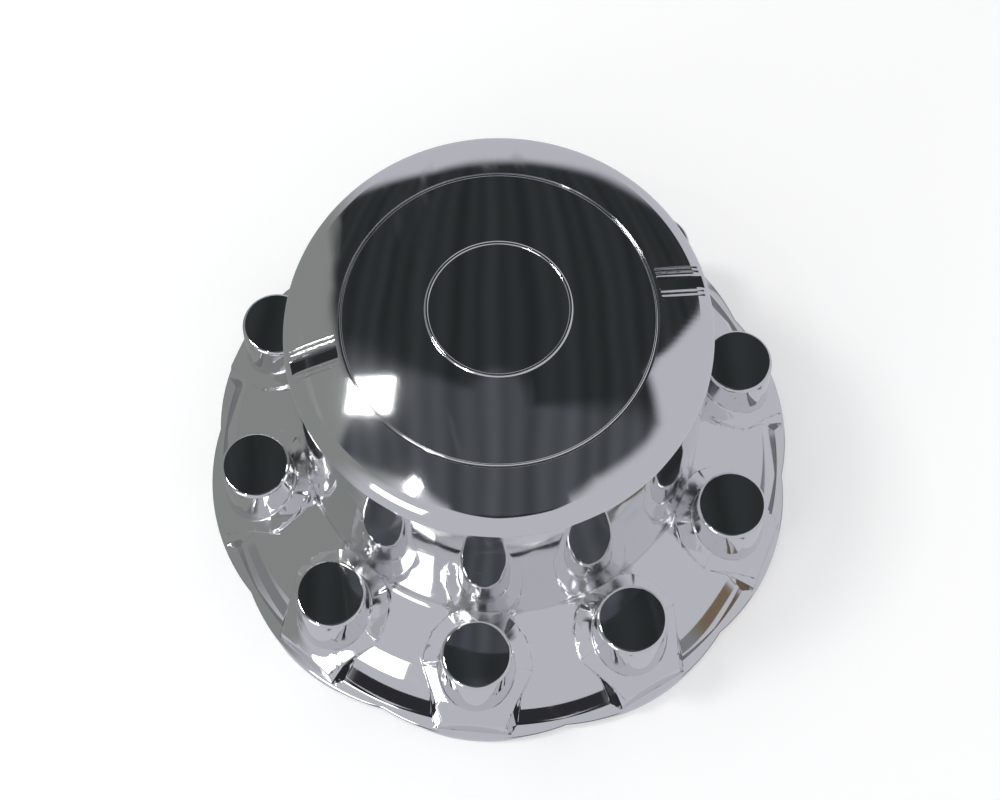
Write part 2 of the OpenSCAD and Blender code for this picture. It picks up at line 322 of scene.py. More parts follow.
def sectorLines(s, radius, notched):
    # angles of the lines that run down the cap over one lug's sector
    if notched:
        return notchLines(s, radius)
    half = math.pi / s["lugCount"]
    return np.linspace(-half, half, hubMesh["plainLines"] + 1)


def lobeReach(theta, s):
    # radius of the rim's outline at an angle: where a ray from the axis meets the lobe's arc
    centre = s["lobeRadius"] - s["lobeArc"]
    return centre * np.cos(theta) + np.sqrt(s["lobeArc"] ** 2 - (centre * np.sin(theta)) ** 2)


def outline(theta, s):
    # rim outline over a sector: a point on the lobe's arc and its outward normal, mitred where two lobes meet
    radius = lobeReach(theta, s)
    point = np.stack([radius * np.cos(theta), radius * np.sin(theta)], -1)
    normal = (point - [s["lobeRadius"] - s["lobeArc"], 0]) / s["lobeArc"]
    radial = onCircle(theta)
    corner = np.abs(np.abs(theta) - math.pi / s["lugCount"]) < 1e-9
    along = np.sum(normal * radial, -1, keepdims=True)
    return point, np.where(corner[:, None], radial / along, normal)


def sectorLoop(s, inner, neckTheta, offset, reaches=None):
    # closed loop of a sector's edge points: out along one side, round the rim, back, and along the neck
    half = math.pi / s["lugCount"]
    side = np.array([math.cos(half), math.sin(half)])
    neckCorner = inner * side - [s["lugRadius"], 0]
    rimTheta = np.linspace(-half, half, hubMesh["rimLines"] + 1)
    point, normal = outline(rimTheta, s)
    rim = point + offset * normal
    if reaches is None:
        # places along the side that a lug sees at even angles
        first = math.atan2(neckCorner[1], neckCorner[0])
        last = math.atan2(rim[-1, 1], rim[-1, 0] - s["lugRadius"])
        angles = np.linspace(first, last, hubMesh["sideLines"] + 1)[1:-1]
        reaches = s["lugRadius"] * np.sin(angles) / np.sin(angles - half)
    nearest, farthest = inner + hubMesh["neckGap"], np.hypot(*rim[-1]) - hubMesh["rimGap"]
    reaches = np.sort(reaches[(reaches > nearest) & (reaches < farthest)])
    inward = reaches[::-1, None] * side
    outward = inward[::-1] * [1, -1]
    neck = inner * onCircle(neckTheta)[::-1]
    return np.concatenate([neck[-1:], outward, rim, inward, neck[:-1]]), rimTheta


def bossRays(s):
    # headings of the rays from a tower's axis: even, and closer at the boss's front corners, its ledge's ends
    # and where its edge crosses a line of the valley
    corner = math.degrees(math.atan2(s["frontHalf"], s["frontReach"] - s["lugRadius"]))
    close = np.concatenate([corner + hubMesh["cornerRays"], hubMesh["collarRays"]])
    fine = np.arange(178, 40, -0.05)
    reach = np.hypot(*bossEdge(s, np.radians(fine)).T)
    breaks = valleyBreaks(s)
    breaks = np.interp(breaks[breaks < hubMesh["lastBreak"]], np.maximum.accumulate(reach), fine)
    close = close[np.min(np.abs(close[:, None] - breaks), axis=1) > hubMesh["closeGap"]]
    close = np.concatenate([close, breaks])
    even = np.arange(-180, 180, hubMesh["raySpacing"])
    even = even[np.min(np.abs(even[:, None] - np.concatenate([close, -close])), axis=1) > hubMesh["evenGap"]]
    return np.radians(np.sort(np.concatenate([even, close, -close])))


def bossEdge(s, rays):
    # along each ray, the last place where the boss stands above the section, and a margin more,
    # short of the rim's rounding
    rho = np.arange(14, 42, 0.02)
    px = s["lugRadius"] + np.cos(rays)[:, None] * rho
    py = np.sin(rays)[:, None] * rho
    u, t, base = onSection(outerLine, px, py)
    above = bossHeight(u, t, s) > base
    last = above.shape[1] - 1 - np.argmax(above[:, ::-1], axis=1)
    ahead = np.abs(rays) < math.radians(hubMesh["frontSector"])
    edge = rho[last] + np.where(ahead, hubMesh["frontMargin"], hubMesh["bossMargin"])
    for _ in range(3):
        x, y = s["lugRadius"] + np.cos(rays) * edge, np.sin(rays) * edge
        theta = np.arctan2(y, x)
        limit = lobeReach(theta, s) - s["rimEdgeRound"] - 0.1
        edge = edge - np.clip(np.hypot(x, y) - limit, 0, None) / np.maximum(np.cos(rays - theta), 0.3)
    return np.stack([s["lugRadius"] + np.cos(rays) * edge, np.sin(rays) * edge], -1)


def valleyBreaks(s):
    # radii of the lines along the roundings of the crease, the knee and the toe
    def arc(radius, slopeA, slopeB, rounding, parts):
        # even radii over a rounding, which reaches its radius times the tangent of half the bend either way
        half = abs(rounding) * math.tan(math.radians(abs(slopeB - slopeA)) / 2)
        start = radius - half * math.cos(math.radians(slopeA))
        return np.linspace(start, radius + half * math.cos(math.radians(slopeB)), parts)
    _, foot = kneeAndFoot(s)
    crease = arc(s["creaseRadius"], s["shelfSlope"], s["bandSlope"], s["breakRound"], 4)
    knee = arc(s["kneeRadius"], s["bandSlope"], s["skirtSlope"], s["breakRound"], 5)
    return np.concatenate([crease, knee, arc(foot[0], s["skirtSlope"], 0, s["footFillet"], 5)])


def valleyReaches(s):
    # radii of all the lines that run round the flange: close along each rounding, wide on the plain slopes
    breaks = valleyBreaks(s)
    neck = outerLine.neckEndR - hubMesh["neckRows"]
    shelf = np.linspace(neck[-1], breaks[0], hubMesh["shelfRows"])[1:-1]
    return np.sort(np.concatenate([neck, shelf, breaks, hubMesh["slopeRows"]]))


def within(polygon, x, y):
    # even-odd rule: how many of the polygon's sides a ray to the right crosses
    x0, y0 = polygon[:, 0], polygon[:, 1]
    x1, y1 = np.roll(x0, -1), np.roll(y0, -1)
    x, y = x[..., None], y[..., None]
    crosses = (y0 > y) != (y1 > y)
    at = x0 + (y - y0) * (x1 - x0) / np.where(y1 == y0, 1e-9, y1 - y0)
    return (np.sum(crosses & (x < at), -1) % 2) == 1


def gapTo(polygon, x, y):
    # distance from points to the polygon's nearest side
    a, b = polygon, np.roll(polygon, -1, 0)
    q = np.stack([x, y], -1)[:, None, :]
    t = np.clip(np.sum((q - a) * (b - a), -1) / np.sum((b - a) ** 2, -1), 0, 1)[..., None]
    return np.min(np.linalg.norm(q - (a + t * (b - a)), axis=-1), 1)


def valleyNet(s, loop, hole):
    # points on lines of even radius between the boss's edge and the sector's, and the sides that join them
    half = math.pi / s["lugCount"]
    theta = np.linspace(-half, half, int(round(math.degrees(2 * half) / hubMesh["valleyStep"])) + 1)
    step = theta[1] - theta[0]
    corners, sides = [loop, hole], []
    for start, polygon in ((0, loop), (len(loop), hole)):
        k = np.arange(len(polygon))
        sides += (start + np.stack([k, np.roll(k, -1)], 1)).tolist()
    count = len(loop) + len(hole)
    for reach in valleyReaches(s):
        x, y = reach * np.cos(theta), reach * np.sin(theta)
        onSide = np.abs(np.abs(theta) - half) < 1e-9
        clear = (gapTo(loop, x, y) > hubMesh["loopGap"]) & (gapTo(hole, x, y) > hubMesh["holeGap"])
        keep = within(loop, x, y) & ~within(hole, x, y) & clear & ~onSide
        index = np.full(theta.size, -1)
        index[keep] = count + np.arange(keep.sum())
        for end in (0, -1):
            near = np.hypot(loop[:, 0] - x[end], loop[:, 1] - y[end])
            if near.min() < 1e-6:
                index[end] = int(np.argmin(near))
        corners.append(np.stack([x, y], -1)[keep])
        # where the boss's edge has a point on this line, it is joined to the line's nearest point beyond
        for h in np.nonzero(np.abs(np.hypot(hole[:, 0], hole[:, 1]) - reach) < 0.03)[0]:
            angle = math.atan2(hole[h, 1], hole[h, 0])
            away = np.abs(theta - angle)
            beside = np.nonzero((index >= 0) & (np.abs(theta) > abs(angle)) & (away < 1.3 * step))[0]
            if len(beside):
                sides.append([len(loop) + int(h), int(index[beside[np.argmin(away[beside])]])])
        joined = (index[:-1] >= 0) & (index[1:] >= 0)
        sides += np.stack([index[:-1], index[1:]], 1)[joined].tolist()
        count += int(keep.sum())
    return np.concatenate(corners), sides


def valleyMesh(s, loop, hole):
    # triangles between the boss's edge and the sector's edge, whose sides follow the lines of even radius
    flat, sides = valleyNet(s, loop, hole)
    found = delaunay_2d_cdt([Vector(p) for p in flat.tolist()], sides, [], 0, 1e-5, True)
    given = np.array([ids[0] if ids else -1 for ids in found[3]])
    place = np.array([tuple(v) for v in found[0]])
    at = np.where(given[:, None] >= 0, flat[given], place)
    faces = np.array([tuple(f) for f in found[2]])
    # in single precision, as the triangulation works
    rounded = flat.astype(np.float32).astype(float)
    outer, inner = rounded[: len(loop)], rounded[len(loop): len(loop) + len(hole)]
    middle = place[faces].mean(1)
    faces = faces[within(outer, middle[:, 0], middle[:, 1]) & ~within(inner, middle[:, 0], middle[:, 1])]
    turn = np.cross(at[faces[:, 1]] - at[faces[:, 0]], at[faces[:, 2]] - at[faces[:, 0]])
    angle = np.abs(np.arctan2(at[faces][..., 1], at[faces][..., 0]))
    straight = np.all(np.abs(angle - math.pi / s["lugCount"]) < 1e-6, axis=1)
    # without the slivers along the sector's straight sides
    faces, turn = faces[~straight], turn[~straight]
    faces[turn < 0] = faces[turn < 0][:, ::-1]
    return at, np.concatenate([faces, faces[:, 2:]], 1), given


def towerRows(s):
    # radii of the rows that every ray shares: the disc and the rounded edge
    arc = roundedCorner((s["towerRadius"], s["towerTop"]), 0, 90 - s["towerDraft"], s["towerRound"], 7)
    return np.concatenate([hubMesh["towerDisc"], arc[:, 0]])


def spreadRows(surface, loop, start, span, rows, s):
    # rows along each ray from the lug's axis, spread by the sum of the millimetres passed and the degrees
    # that the surface bends; the ray is sampled closely over the first span and then evenly up to the loop
    out = loop - np.array([s["lugRadius"], 0.0])
    far = np.hypot(out[:, 0], out[:, 1])
    ray = out / far[:, None]
    near = np.linspace(0, 1, 180)[None, :] * span + start
    near = np.repeat(near, len(loop), 0)
    rest = near[:, -1:] + (far[:, None] - near[:, -1:]) * np.linspace(0, 1, 520)[None, 1:]
    rho = np.concatenate([near, rest], 1)
    plan = fromLug(s, ray, rho)
    p = surface(plan[..., 0], plan[..., 1])
    climb = np.arctan2(np.diff(p[..., 2], axis=1), np.hypot(*np.moveaxis(np.diff(p[..., :2], axis=1), -1, 0)))
    length = np.linalg.norm(np.diff(p, axis=1), axis=-1)
    bend = np.degrees(np.abs(np.diff(climb, axis=1, prepend=climb[:, :1])))
    bend = (bend + np.roll(bend, 1, 0) + np.roll(bend, -1, 0)) / 3
    weight = np.cumsum(length + bend, 1)
    weight = np.concatenate([np.zeros((len(loop), 1)), weight], 1)
    weight /= weight[:, -1:]
    place = np.linspace(0, 1, rows + 1)[1:]
    index = np.stack([np.interp(place, w, np.arange(w.size)) for w in weight])
    for _ in range(2):
        index = (np.roll(index, 1, 0) + 2 * index + np.roll(index, -1, 0)) / 4
    index[:, -1] = rho.shape[1] - 1
    low = np.clip(index.astype(int), 0, rho.shape[1] - 2)
    part = index - low
    row = np.arange(len(loop))[:, None]
    return rho[row, low] * (1 - part) + rho[row, low + 1] * part, ray


def fromLug(s, ray, rho):
    # places in plan at those distances from the lug's axis along each ray
    return np.array([s["lugRadius"], 0]) + ray[:, None, :] * rho[..., None]


def leanLedge(s, points, normals):
    # the narrow ledge is shaded as a softened lip: its normal leans outwards by the given angle
    radial = np.stack([points[..., 0], points[..., 1]], -1)
    radial = radial / (np.linalg.norm(radial, axis=-1, keepdims=True) + 1e-9)
    lean = math.radians(s["ledgeLean"])
    leaned = np.concatenate([radial * math.sin(lean), np.full(radial.shape[:-1] + (1,), math.cos(lean))], -1)
    low = points[..., 2] < s["ledgeHeight"] + 0.7
    far = np.hypot(points[..., 0], points[..., 1]) > s["ledgeFrom"]
    flat = low & far & (normals[..., 2] > math.cos(lean))
    return np.where(flat[..., None], leaned, normals)


def gridFaces(rows, columns, closed, flip=False):
    # quads between neighbouring rows and columns of a grid
    i, j = np.meshgrid(np.arange(rows - 1), np.arange(columns if closed else columns - 1), indexing="ij")
    k = (j + 1) % columns
    quads = np.stack([i * columns + j, (i + 1) * columns + j, (i + 1) * columns + k, i * columns + k], -1)
    quads = quads.reshape(-1, 4)
    return quads[:, ::-1] if flip else quads


class Collector:
    # gathers grids and joins them into one closed mesh
    def __init__(self):
        # lists of the patches, and the number of points so far
        self.points, self.normals, self.inside, self.quads, self.count = [], [], [], [], 0

    def add(self, points, normals, quads, inside, turn):
        # one patch, turned about the cover's axis
        c, d = math.cos(turn), math.sin(turn)
        m = np.array([[c, d, 0], [-d, c, 0], [0, 0, 1]])
        size = points.size // 3
        self.points.append((points @ m).reshape(-1, 3))
        self.normals.append((normals @ m).reshape(-1, 3))
        self.inside.append(np.full(size, float(inside)) if np.isscalar(inside) else np.ravel(inside))
        self.quads.append(quads + self.count)
        self.count += size

    def build(self, name):
        # points in one cell of the merge grid become one, and a quad that loses a side becomes a triangle
        points, normals = np.concatenate(self.points), np.concatenate(self.normals)
        inside, quads = np.concatenate(self.inside), np.concatenate(self.quads)
        key = np.floor(points * hubMesh["cellsPerMm"] + 0.3717).astype(np.int64)
        _, first, back = np.unique(key, axis=0, return_index=True, return_inverse=True)
        back = back.ravel()
        points, inside = points[first], inside[first]
        total = np.zeros_like(points)
        np.add.at(total, back, normals)
        total /= np.linalg.norm(total, axis=1, keepdims=True) + 1e-12
        quads = back[quads]
        same = np.stack([quads[:, i] == quads[:, (i + 1) % 4] for i in range(4)], 1)
        plain = quads[~same.any(1)]
        tris = [np.delete(quads[same[:, i] & (same.sum(1) == 1)], i, 1) for i in range(4)]
        tris = np.concatenate(tris)
        mesh = bpy.data.meshes.new(name)
        mesh.from_pydata((points * mm).tolist(), [], plain.tolist() + tris.tolist())
        mesh.polygons.foreach_set("use_smooth", np.ones(len(mesh.polygons), bool))
        mesh.attributes.new("inside", "FLOAT", "POINT").data.foreach_set("value", inside)
        mesh.update()
        mesh.normals_split_custom_set_from_vertices(total.tolist())
        piece = bpy.data.objects.new(name, mesh)
        bpy.context.collection.objects.link(piece)
        print(name, "triangles", 2 * len(plain) + len(tris))
        return piece


def crownFeature(r, s):
    # half-round ring standing on the crown and half-round ring sunk in it, as a height to add
    def arcRadius(width, height):
        # radius of the arc of that width and height
        return (width * width / 4 + height * height) / (2 * height)
    bead, groove = arcRadius(s["beadWidth"], s["beadHeight"]), arcRadius(s["grooveWidth"], s["grooveDepth"])
    up = np.sqrt(np.clip(bead ** 2 - (r - s["beadRing"]) ** 2, 0, None)) - bead + s["beadHeight"]
    down = np.sqrt(np.clip(groove ** 2 - (r - s["grooveRing"]) ** 2, 0, None)) - groove + s["grooveDepth"]
    return np.clip(up, 0, None) - np.clip(down, 0, None)


def notchFloor(x, y, z, s):
    # how far a point stands above the floor of the notch's channel or slots, along the notch's own upright
    crownCentre = s["capTop"] - s["crownRadius"]
    z0 = crownCentre + math.sqrt(s["crownRadius"] ** 2 - s["notchStart"] ** 2)
    tilt = math.asin((s["notchStart"] + s["notchLength"] / 2) / s["crownRadius"])
    along = (x - s["notchStart"]) * math.cos(tilt) - (z - z0) * math.sin(tilt)
    up = (x - s["notchStart"]) * math.sin(tilt) + (z - z0) * math.cos(tilt)
    side = np.abs(y)
    depth = np.where(side < s["channelHalf"], s["channelDepth"], 0.0)
    for i in range(s["slots"]):
        edge = s["channelHalf"] + s["ridge"] + i * (s["ridge"] + s["slot"])
        depth = np.where((side > edge) & (side < edge + s["slot"]), s["slotDepth"], depth)
    cut = np.where((depth > 0) & (along > 0) & (along < s["notchLength"]), np.clip(up + depth, 0, None), 0)
    return cut, math.sin(tilt), math.cos(tilt)


def capPoint(run, theta, notched, s=hubShape):
    # the cap by running length and angle, with the rings and, near a notch, the channel and slots pressed in
    r, z = outerLine.at(run)
    z = z + np.where(r < hubMesh["crownEnd"], crownFeature(r, s), 0)
    x, y = r * np.cos(theta), r * np.sin(theta)
    if notched:
        cut, si, co = notchFloor(x, y, z, s)
        x, z = x - cut * si, z - cut * co
    return np.stack([x, y, z], -1)


def capNormals(run, theta, notched, s=hubShape):
    # cross product of the differences along the line and round the axis
    h = hubMesh["capProbe"]
    du = capPoint(run + h, theta, notched, s) - capPoint(np.maximum(run - h, 0), theta, notched, s)
    turn = h / np.maximum(outerLine.at(run)[0], 1.0)
    dv = capPoint(run, theta + turn, notched, s) - capPoint(run, theta - turn, notched, s)
    n = np.cross(du, dv)
    n = n / (np.linalg.norm(n, axis=-1, keepdims=True) + 1e-12)
    if notched:
        # the channel's floor is shaded as if it leaned back towards the axis by the given angle
        r, z = outerLine.at(run)
        cut, si, co = notchFloor(r * np.cos(theta), r * np.sin(theta), z, s)
        a, b = math.cos(math.radians(s["floorLean"])), math.sin(math.radians(s["floorLean"]))
        floor = (cut > 0.3) & (np.abs(r * np.sin(theta)) < s["channelHalf"])
        n = np.where(floor[..., None], [si * a - co * b, 0, co * a + si * b], n)
    return n


def capRows(s):
    # running lengths of the rows: even on the crown, close at the rings, the notch and the shoulder
    crown = np.argmax(outerLine.r > 112)

    def at(radius):
        # running length at a radius on the crown
        return np.interp(radius, outerLine.r[:crown], outerLine.run[:crown])
    radii = np.concatenate([
        hubMesh["crownRows"], s["beadRing"] + hubMesh["ringRows"] * s["beadWidth"] / 2, hubMesh["middleRows"],
        s["grooveRing"] + hubMesh["ringRows"] * s["grooveWidth"] / 2, hubMesh["outerRows"]])
    # round the shoulder and on to the wall
    shoulder = at(hubMesh["shoulderFrom"]) + hubMesh["shoulderRuns"]
    last = outerLine.upNeck(neckReach)
    wall = shoulder[-1] + hubMesh["wallRuns"]
    return np.concatenate([at(radii), shoulder, wall[wall < last - 5], [last]])


def withPole(points, normals, height, up):
    # the grid with a first row that is one point on the axis
    pole = np.zeros((1,) + points.shape[1:])
    return np.concatenate([pole + [0, 0, height], points]), np.concatenate([pole + [0, 0, up], normals])


def capSkin(s, notched):
    # outside of the cap over one sector: every row at its running length, every line at its angle
    runs = capRows(s)
    theta = np.stack([sectorLines(s, r, notched) for r in outerLine.at(runs)[0]])
    run = np.repeat(runs[:, None], theta.shape[1], 1)
    skin = withPole(capPoint(run, theta, notched), capNormals(run, theta, notched), s["capTop"], 1)
    return skin, theta[-1]


def capLining(s, notched):
    # inside of the cap over one sector: the inset line turned round the axis, and its normals
    runs = np.concatenate([hubMesh["liningRuns"], [innerLine.upNeck(innerNeckReach)]])
    radius, z = innerLine.at(runs)
    theta = np.stack([sectorLines(s, max(r, 112.0), notched) for r in radius])
    dr, dz = np.gradient(innerLine.r), np.gradient(innerLine.z)
    nr, nz = np.interp(runs, innerLine.run, dz), np.interp(runs, innerLine.run, -dr)
    size = np.hypot(nr, nz)

    def turned(along, height):
        # each row's radius and height at every angle
        flat, level = along[:, None], np.repeat(height[:, None], theta.shape[1], 1)
        return np.stack([flat * np.cos(theta), flat * np.sin(theta), level], -1)

    return withPole(turned(radius, z), turned(nr / size, nz / size), s["capTop"] - s["wall"], -1), theta[-1]


def lugSkin(s, neckTheta):
    # outside of a lug's sector: rows round the tower and its boss, and the valley on to the sector's edge
    loop, rimTheta = sectorLoop(s, neckReach, neckTheta, -s["rimEdgeRound"], valleyReaches(s))
    edge = bossEdge(s, bossRays(s))
    shared = towerRows(s)
    rho, ray = spreadRows(skinPoint, edge, shared[-1], hubMesh["towerSpan"], hubMesh["bossRows"], s)
    plan = fromLug(s, ray, np.concatenate([np.repeat(shared[None], len(edge), 0), rho], 1))
    face = skinPoint(plan[..., 0], plan[..., 1])
    faceN = normalsOf(skinPoint, plan[..., 0], plan[..., 1], hubMesh["probe"])
    top = np.zeros((len(edge), 1, 3))
    face = np.concatenate([top + [s["lugRadius"], 0, s["towerTop"]], face], 1)
    faceN = np.concatenate([top + [0, 0, 1], faceN], 1)
    at, quads, given = valleyMesh(s, loop, plan[:, -1])
    valley = skinPoint(at[:, 0], at[:, 1])
    valleyN = normalsOf(skinPoint, at[:, 0], at[:, 1], hubMesh["probe"])
    onRim = (given >= 0) & (given < len(loop)) & (np.hypot(at[:, 0], at[:, 1]) > s["lobeRadius"] - 6.0)
    valley[onRim, 2], valleyN[onRim] = s["ledgeHeight"], (0, 0, 1)
    face, faceN = face.swapaxes(0, 1), leanLedge(s, face, faceN).swapaxes(0, 1)
    valleyN = leanLedge(s, valley, valleyN)
    return (face, faceN, gridFaces(*face.shape[:2], True)), (valley, valleyN, quads), rimTheta


def pocketLining(s, neckTheta):
    # inside of a lug's sector: the stepped pocket, the socket's wall and the ceiling, as one grid of rays
    loop, _ = sectorLoop(s, innerNeckReach, neckTheta, -s["wall"] - 0.3)
    c, e = s["boreChamfer"], s["socketRadius"]
    stud, nut = (s["studBore"], s["studDepth"]), (s["nutBore"], s["nutDepth"])
    base = s["socketBase"]
    # radius, height and normal of each corner, from the pocket's top down and out to the socket's wall
    profile = [(0, stud[1], 0, -1), (stud[0] - 3, stud[1], 0, -1), (stud[0] - c, stud[1], 0, -1),
               (stud[0], stud[1] - c, -1, 0), (stud[0], nut[1] + c, -1, 0), (stud[0] + c, nut[1], 0, -1),
               (nut[0] - c, nut[1], 0, -1), (nut[0], nut[1] - c, -1, 0), (nut[0], base + c, -1, 0),
               (nut[0] + c, base, 0, -1), (e - c, base, 0, -1), (e, base + c, 1, 0)]
    rho, ray = spreadRows(ceilingPoint, loop, e + c, hubMesh["socketSpan"], hubMesh["ceilingRows"], s)
    # closer rows that follow the neck's fillet
    tail = rho[:, -1:] - (rho[:, -1:] - e - c) * hubMesh["ceilingTail"]
    rho = np.concatenate([np.full((len(loop), 1), e + c), np.sort(np.concatenate([rho, tail], 1), 1)], 1)
    plan = fromLug(s, ray, rho)
    ceiling = ceilingPoint(plan[..., 0], plan[..., 1])
    ceilingN = normalsOf(ceilingPoint, plan[..., 0], plan[..., 1], hubMesh["ceilingProbe"], True)
    onRim = np.hypot(loop[:, 0], loop[:, 1]) > s["lobeRadius"] - 7.5
    ceiling[onRim, -1, 2] = s["ledgeHeight"] - s["wall"]

    def revolved(radius, height, normalR, normalZ):
        # one corner of the profile on every ray round the lug's axis, and its normal
        upright = np.zeros((len(ray), 1))
        along, across = s["lugRadius"] + ray[:, :1] * radius, ray[:, 1:] * radius
        place = np.concatenate([along, across, upright + height], 1)
        return place[:, None], np.concatenate([ray * normalR, upright + normalZ], 1)[:, None]

    corners = [revolved(*row) for row in profile] + [revolved(e, ceiling[:, :1, 2] - c, 1, 0)]
    pocket = np.concatenate([p for p, _ in corners] + [ceiling], 1).swapaxes(0, 1)
    pocketN = np.concatenate([n for _, n in corners] + [ceilingN], 1).swapaxes(0, 1)
    return pocket, pocketN, gridFaces(*pocket.shape[:2], True, True)


def rimStrip(s, rimTheta):
    # the rim from the ledge's edge down, under and up to the ceiling's edge, as offsets and heights
    point, normal = outline(rimTheta, s)
    h, w, lean = s["ledgeHeight"], s["wall"], fallOf(s["rimDraft"])
    arc = roundedCorner((0, h), 0, 90 - s["rimDraft"], s["rimEdgeRound"], hubMesh["rimArc"])
    turn = np.radians(np.linspace(0, 90 - s["rimDraft"], hubMesh["rimArc"]))
    # offset, height and normal of each row; the rows past the bottom's outer edge are inside
    down = [(-s["rimEdgeRound"], h, 0, 1)]
    down += [(o, z, math.sin(a), math.cos(a)) for (o, z), a in zip(arc[1:], turn[1:])]
    down += [(lean * (h - 0.4), 0.4, 1, 0.02), (lean * h - 0.35, 0, 0, -1), (0.35 - w, 0, 0, -1),
             (-w, 0.4, -1, 0), (-w, h - w - 0.3, -1, 0), (-w - 0.3, h - w, 0, -1)]
    column = np.ones((len(point), 1))
    rim = np.stack([np.concatenate([point + o * normal, column * z], 1) for o, z, _, _ in down])
    rimN = np.stack([np.concatenate([normal * a, column * b], 1) for _, _, a, b in down])
    rimN[0], rimN[1] = leanLedge(s, rim[0], rimN[0]), leanLedge(s, rim[1], rimN[1])
    inside = np.repeat(np.array([0.0] * 8 + [1.0] * 4)[:, None], len(point), 1)
    return rim, rimN, gridFaces(*rim.shape[:2], False), inside


def thinPlating(points, s):
    # half where a groove between neck and tower is deepest, falling to none with the distance from its middle
    reach, theta = np.hypot(points[..., 0], points[..., 1]), np.arctan2(points[..., 1], points[..., 0])
    away = np.hypot(reach - s["grooveAt"][0], points[..., 2] - s["grooveAt"][1])
    aside = np.abs(reach * np.sin(theta))
    near = 1 - softStep(s["grooveNear"], s["grooveFar"], away)
    return 0.5 * near * (1 - softStep(s["grooveHalf"] * 0.5, s["grooveHalf"], aside))


def buildHubCover(s):
    # ten sectors, two of them with a lift notch, each a cap, a lug and a rim, outside and inside
    whole = Collector()
    lugStep = 2 * math.pi / s["lugCount"]
    notchedLugs = (0, s["lugCount"] // 2)
    for notched in (True, False):
        (skin, skinN), neckTheta = capSkin(s, notched)
        (lining, liningN), innerTheta = capLining(s, notched)
        face, valley, rimTheta = lugSkin(s, neckTheta)
        patches = [(skin, skinN, gridFaces(*skin.shape[:2], False), thinPlating(skin, s)),
                   (lining, liningN, gridFaces(*lining.shape[:2], False, True), 1),
                   (*face, thinPlating(face[0], s)), (*valley, thinPlating(valley[0], s)),
                   (*pocketLining(s, innerTheta), 1), rimStrip(s, rimTheta)]
        for lug in range(s["lugCount"]):
            if (lug in notchedLugs) == notched:
                for patch in patches:
                    whole.add(*patch, lug * lugStep)
    return whole.build("hubCoverPlated")


hubCover = buildHubCover(hubShape)
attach(hubCover, "root")
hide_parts("hub_cover")
print("hub cover built")


# camera solved from the nut towers, the rings and the rim, in metres and degrees
cameraPlace = {
    "place": (-0.08342, -0.37679, 1.07771), "right": (0.97464, -0.22376, -0.00269),
    "up": (0.20928, 0.90719, 0.36499), "lens": 67.157, "sensor": 36.0,
}


def makeCamera(c):
    # columns of the matrix are the camera's right, its up and the reverse of its view
    data = bpy.data.cameras.new("photoCamera")
    data.sensor_fit, data.sensor_width, data.lens = "HORIZONTAL", c["sensor"], c["lens"]
    data.clip_start, data.clip_end = 0.05, 60
    camera = bpy.data.objects.new("photoCamera", data)
    right = Vector(c["right"]).normalized()
    up = (Vector(c["up"]) - right * right.dot(Vector(c["up"]))).normalized()
    matrix = Matrix((right, up, right.cross(up))).transposed().to_4x4()
    matrix.translation = Vector(c["place"])
    camera.matrix_world = matrix
    bpy.context.collection.objects.link(camera)
    bpy.context.scene.camera = camera


makeCamera(cameraPlace)
print("camera placed")


# painted reflections, on glowing sheets that only the plating's reflections see: what the plating mirrors, in
# screen tones, degrees and metres; over a span, a sector or an edge fades
studio = {
    # pale walls, greyer in one sector
    "domeRadius": 4.0, "walls": (192, 193, 200),
    "leftWall": (138, 142, 140), "leftMiddle": 154.0, "leftSpan": (38.0, 54.0),
    # the dark ceiling above them, and its edge as heading and elevation
    "ceiling": (76, 80, 85), "deepCeiling": (46, 50, 51), "edgeSoft": 3.0,
    "edge": [(-180, 52), (-166, 60), (-150, 65), (-129, 64), (-104, 51), (-78, 56), (-65, 64), (-50, 63),
             (-15, 54), (4, 55), (9, 52), (18, 38), (28, 26), (52, 25), (90, 27), (106, 24), (112, 26),
             (119, 36), (126, 42), (150, 54), (165, 58), (180, 52)],
    # where the ceiling is deeper: a wide sector up to near the zenith, and a low one over the front edge
    "deepMiddle": 65.0, "deepSpan": (70.0, 86.0), "deepTop": (81.0, 85.0),
    "rimMiddle": -104.0, "rimSpan": (26.0, 42.0), "rimTop": (58.0, 64.0),
    "panels": 60.0, "panelDepth": 0.16, "panelHeading": 77.5,
    # the pale floor reflection, and on it a low ring of painted shadow round the cover, the object's shadow
    # on the floor as reflections show it: grey all round, darkest in front, with a brown sector at one side,
    # and pale in front of each boss
    "reflectedFloorInner": 0.176, "reflectedFloorOuter": 3.95, "reflectedFloorHeight": 0.0006,
    "shadowRingReach": 0.188, "shadowRingFoot": 0.0007, "shadowRingHeight": 0.0088, "shadowRingGap": (6.5, 8.5),
    "nearShadowTone": (128, 130, 132),
    "frontShadowTone": (46, 46, 50), "frontShadowMiddle": -100.0, "frontShadowSpan": (34.0, 40.0),
    "brownTone": (118, 104, 88), "brownMiddle": -44.0, "brownSpan": (9.0, 15.0),
    "worldLevel": 0.74, "worldTone": (0.985, 0.99, 1.0, 1),
    "floorHalf": 9.0, "floorTone": 0.87, "floorLift": 0.2,
}


def linear(tone):
    # a screen tone of 0 to 255 as linear light
    t = np.array(tone) / 255.0
    return np.where(t <= 0.04045, t / 12.92, ((t + 0.055) / 1.055) ** 2.4)


def mixed(a, b, share):
    # from a to b by the share
    return a * (1 - share) + b * share


def sector(heading, middle, span):
    # 1 within the span's first angle of the middle heading, 0 beyond its second
    gap = np.abs((heading - middle + 180) % 360 - 180)
    return 1 - softStep(*span, gap)


def wallTone(heading, s):
    # the walls' tone at a heading
    left = sector(heading, s["leftMiddle"], s["leftSpan"])[..., None]
    return mixed(linear(s["walls"]), linear(s["leftWall"]), left)


